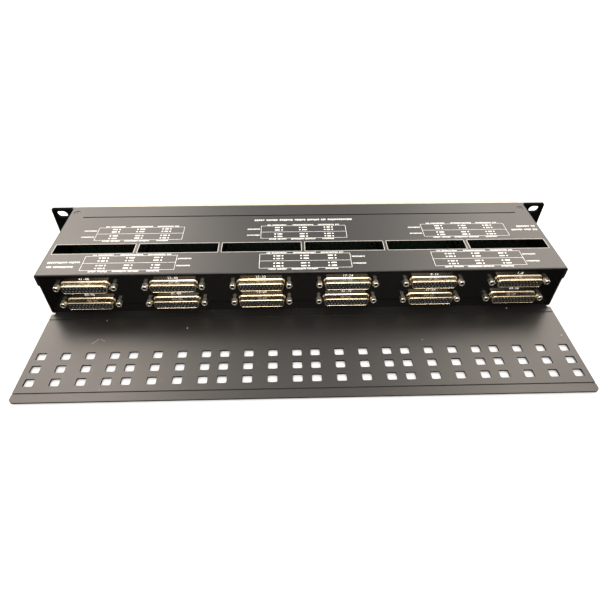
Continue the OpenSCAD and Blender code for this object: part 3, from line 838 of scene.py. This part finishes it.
# The cover's screws sit a little below the sheet, so a dark ring shows around each head.
# Those in the cover's side lips, further out, stay as they are.
SCREW_SINK, HEAD_SHRINK = 0.55 * MM, 0.78
SCREW_INSET, SCREW_Y, LIP_ZONE = 6.7 * MM, 6.8 * MM, 4.2 * MM
cover_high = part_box("top_cover")[1]
cover_screws = softened("cover_screws", 0.08 * MM, 2)
for vertex in cover_screws.data.vertices:
    point = vertex.co
    if abs(point.x) < cover_high[0] - LIP_ZONE or point.z > cover_high[2] - 1.3 * MM:
        centre = Vector((math.copysign(cover_high[0] - SCREW_INSET, point.x), SCREW_Y, point.z))
        vertex.co = centre + (point - centre) * HEAD_SHRINK - Vector((0.0, 0.0, SCREW_SINK))
dress(cover_screws, black_screw)
stands_for(cover_screws, "frame", "black_screw", "cover_screws")

# ---- Patch boards, headers and shunts ---------------------------------------------------
# Six lacquered boards carry the jacks and two 24-pin headers each. Sixteen black jumper
# shunts a board are pushed over the pins, and can be pulled out through the cover's window.

PIN_PITCH = 2.54 * MM
HEADER_ROWS = 6.4 * MM
WINDOW_Y = WINDOW_MIDDLE * MM
BOARD_TOP = 0.8 * MM
SHUNT_W, SHUNT_D, SHUNT_SOFT = 4.88 * MM, 2.4 * MM, 0.18 * MM
FIRST_SHUNT, SHUNT_PITCH, SHUNT_BASE = 11 * PIN_PITCH, 3 * PIN_PITCH, 2.6 * MM

patch_lacquer = moulded("patch_board_lacquer", (0.005, 0.012, 0.007), 0.4)
header_moulding = moulded("header_moulding", (0.004, 0.004, 0.004), 0.7)
# The header pins are painted near black, as the shade under the cover.
pins_painted_dark = plated("pin_painted_shade", (0.05, 0.042, 0.028), 0.5)
dress(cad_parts["header_strips"], header_moulding)
dress(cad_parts["header_pins"], pins_painted_dark)


def shunt():
    """One shunt: a rounded cap with a waist for the fingers and a probe hole on top."""
    half_w, half_d = SHUNT_W / 2, SHUNT_D / 2
    rings = []
    profile = ((0.30, 0.0), (0.06, 0.0), (0.0, 0.12), (0.0, 3.6), (0.16, 3.9), (0.16, 5.0),
               (0.0, 5.3), (0.0, 6.3), (0.12, 6.5), (0.62, 6.5), (0.66, 6.1), (0.9, 6.0))
    for inset, z in profile:
        w, d = half_w - inset * MM, half_d - inset * MM
        short_w, short_d = w - SHUNT_SOFT, d - SHUNT_SOFT
        rings.append([(x, y, z * MM) for x, y in (
            (short_w, -d), (w, -short_d), (w, short_d), (short_w, d),
            (-short_w, d), (-w, short_d), (-w, -short_d), (-short_w, -d))])
    mesh = bpy.data.meshes.new("shunt")
    count = len(rings[0])
    faces = [(r * count + k, r * count + (k + 1) % count, (r + 1) * count + (k + 1) % count,
              (r + 1) * count + k) for r in range(len(rings) - 1) for k in range(count)]
    faces.append(tuple(range(count))[::-1])
    faces.append(tuple(range((len(rings) - 1) * count, len(rings) * count)))
    mesh.from_pydata([point for ring in rings for point in ring], [], faces)
    mesh.shade_flat()
    return mesh


shunt_moulding = moulded("shunt_moulding", (0.004, 0.004, 0.004), 0.75)
for i, m in enumerate(module_letters):
    dress(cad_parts["patch_board_" + m], patch_lacquer)
    first = Vector((first_module_x + i * MODULE_PITCH - FIRST_SHUNT,
                    WINDOW_Y - HEADER_ROWS / 2, BOARD_TOP + SHUNT_BASE))
    caps = ranks("shunt_caps_" + m, shunt(), shunt_moulding, first, SHUNT_PITCH, CHANNELS,
                 row_step=(0.0, HEADER_ROWS, 0.0), rows=2)
    stands_for(caps, "shunt_set_" + m, "black_plastic", "shunts_" + m)

# ---- Jacks ------------------------------------------------------------------------------
# Ninety-six miniature jacks. A turned nose of nickelled brass takes the plug and stands a
# little out of the panel; behind it are a black body on the board and two leaf springs.

JACK_PITCH, JACK_ROWS = 8.89 * MM, 13.6 * MM
nose_profile = ((3.0, 7.1), (3.0, -4.55), (2.93, -4.80), (2.78, -4.96), (2.58, -5.0),
                (2.42, -4.93), (2.28, -4.72), (2.2, -4.4), (2.2, 2.4), (2.32, 2.5),
                (2.32, 3.1), (2.2, 3.2), (2.2, 7.1))
nose_nickel = plated("nose_nickel", (0.66, 0.63, 0.56), 0.18)
noses = ranks("jack_noses_finished", turned("nose", nose_profile, 32), nose_nickel,
              Vector((first_module_x - (CHANNELS - 1) / 2 * JACK_PITCH, 0.0, JACK_ROWS / 2)),
              JACK_PITCH, CHANNELS, MODULE_PITCH, MODULES, (0.0, 0.0, -JACK_ROWS), 2)
stands_for(noses, "frame", "nickel", "jack_noses_upper", "jack_noses_lower")
jack_moulding = moulded("jack_moulding", (0.010, 0.010, 0.010), 0.45)
# The leaf springs are painted near black, as the shade inside the unit.
springs_painted_dark = plated("spring_painted_shade", (0.05, 0.04, 0.026), 0.45)
dress(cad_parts["jack_bodies_upper"], jack_moulding)
dress(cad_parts["jack_bodies_lower"], jack_moulding)
dress(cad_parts["jack_springs"], springs_painted_dark)

# ---- Label holders and strips -----------------------------------------------------------
# Ivory plastic channels along the panel's top and bottom edges. Each holds a slip of cream
# card with the channel numbers, which slides out at the right-hand end.

LABEL_FIGURE = 2.4
holder_ivory = moulded("holder_ivory", (0.52, 0.46, 0.34), 0.32)
label_card = moulded("label_card", (0.42, 0.40, 0.34), 0.75, 2500.0)
figure_ink = moulded("figure_ink", (0.006, 0.006, 0.008), 0.7)
for row, first_number in (("upper", 1), ("lower", 49)):
    holder = softened("label_holder_" + row, 0.15 * MM)
    dress(holder, holder_ivory)
    stands_for(holder, "frame", "ivory_plastic", "label_holder_" + row)
    card = softened("label_strip_" + row, 0.04 * MM, 1)
    dress(card, label_card)
    stands_for(card, "label_" + row, "label_paper", "label_strip_" + row)
    low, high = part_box("label_strip_" + row)
    figures = FlatMarks((0.0, low[1], (low[2] + high[2]) / 2), (1.0, 0.0, 0.0), (0.0, 0.0, 1.0))
    for module in range(MODULES):
        for jack in range(CHANNELS):
            x = (first_module_x + module * MODULE_PITCH
                 + (jack - (CHANNELS - 1) / 2) * JACK_PITCH)
            figures.figures(str(first_number + CHANNELS * module + jack), x / MM, 0.0,
                            LABEL_FIGURE)
    numbers = figures.piece("label_figures_" + row)
    dress(numbers, figure_ink)
    stands_for(numbers, "label_" + row, "label_paper")
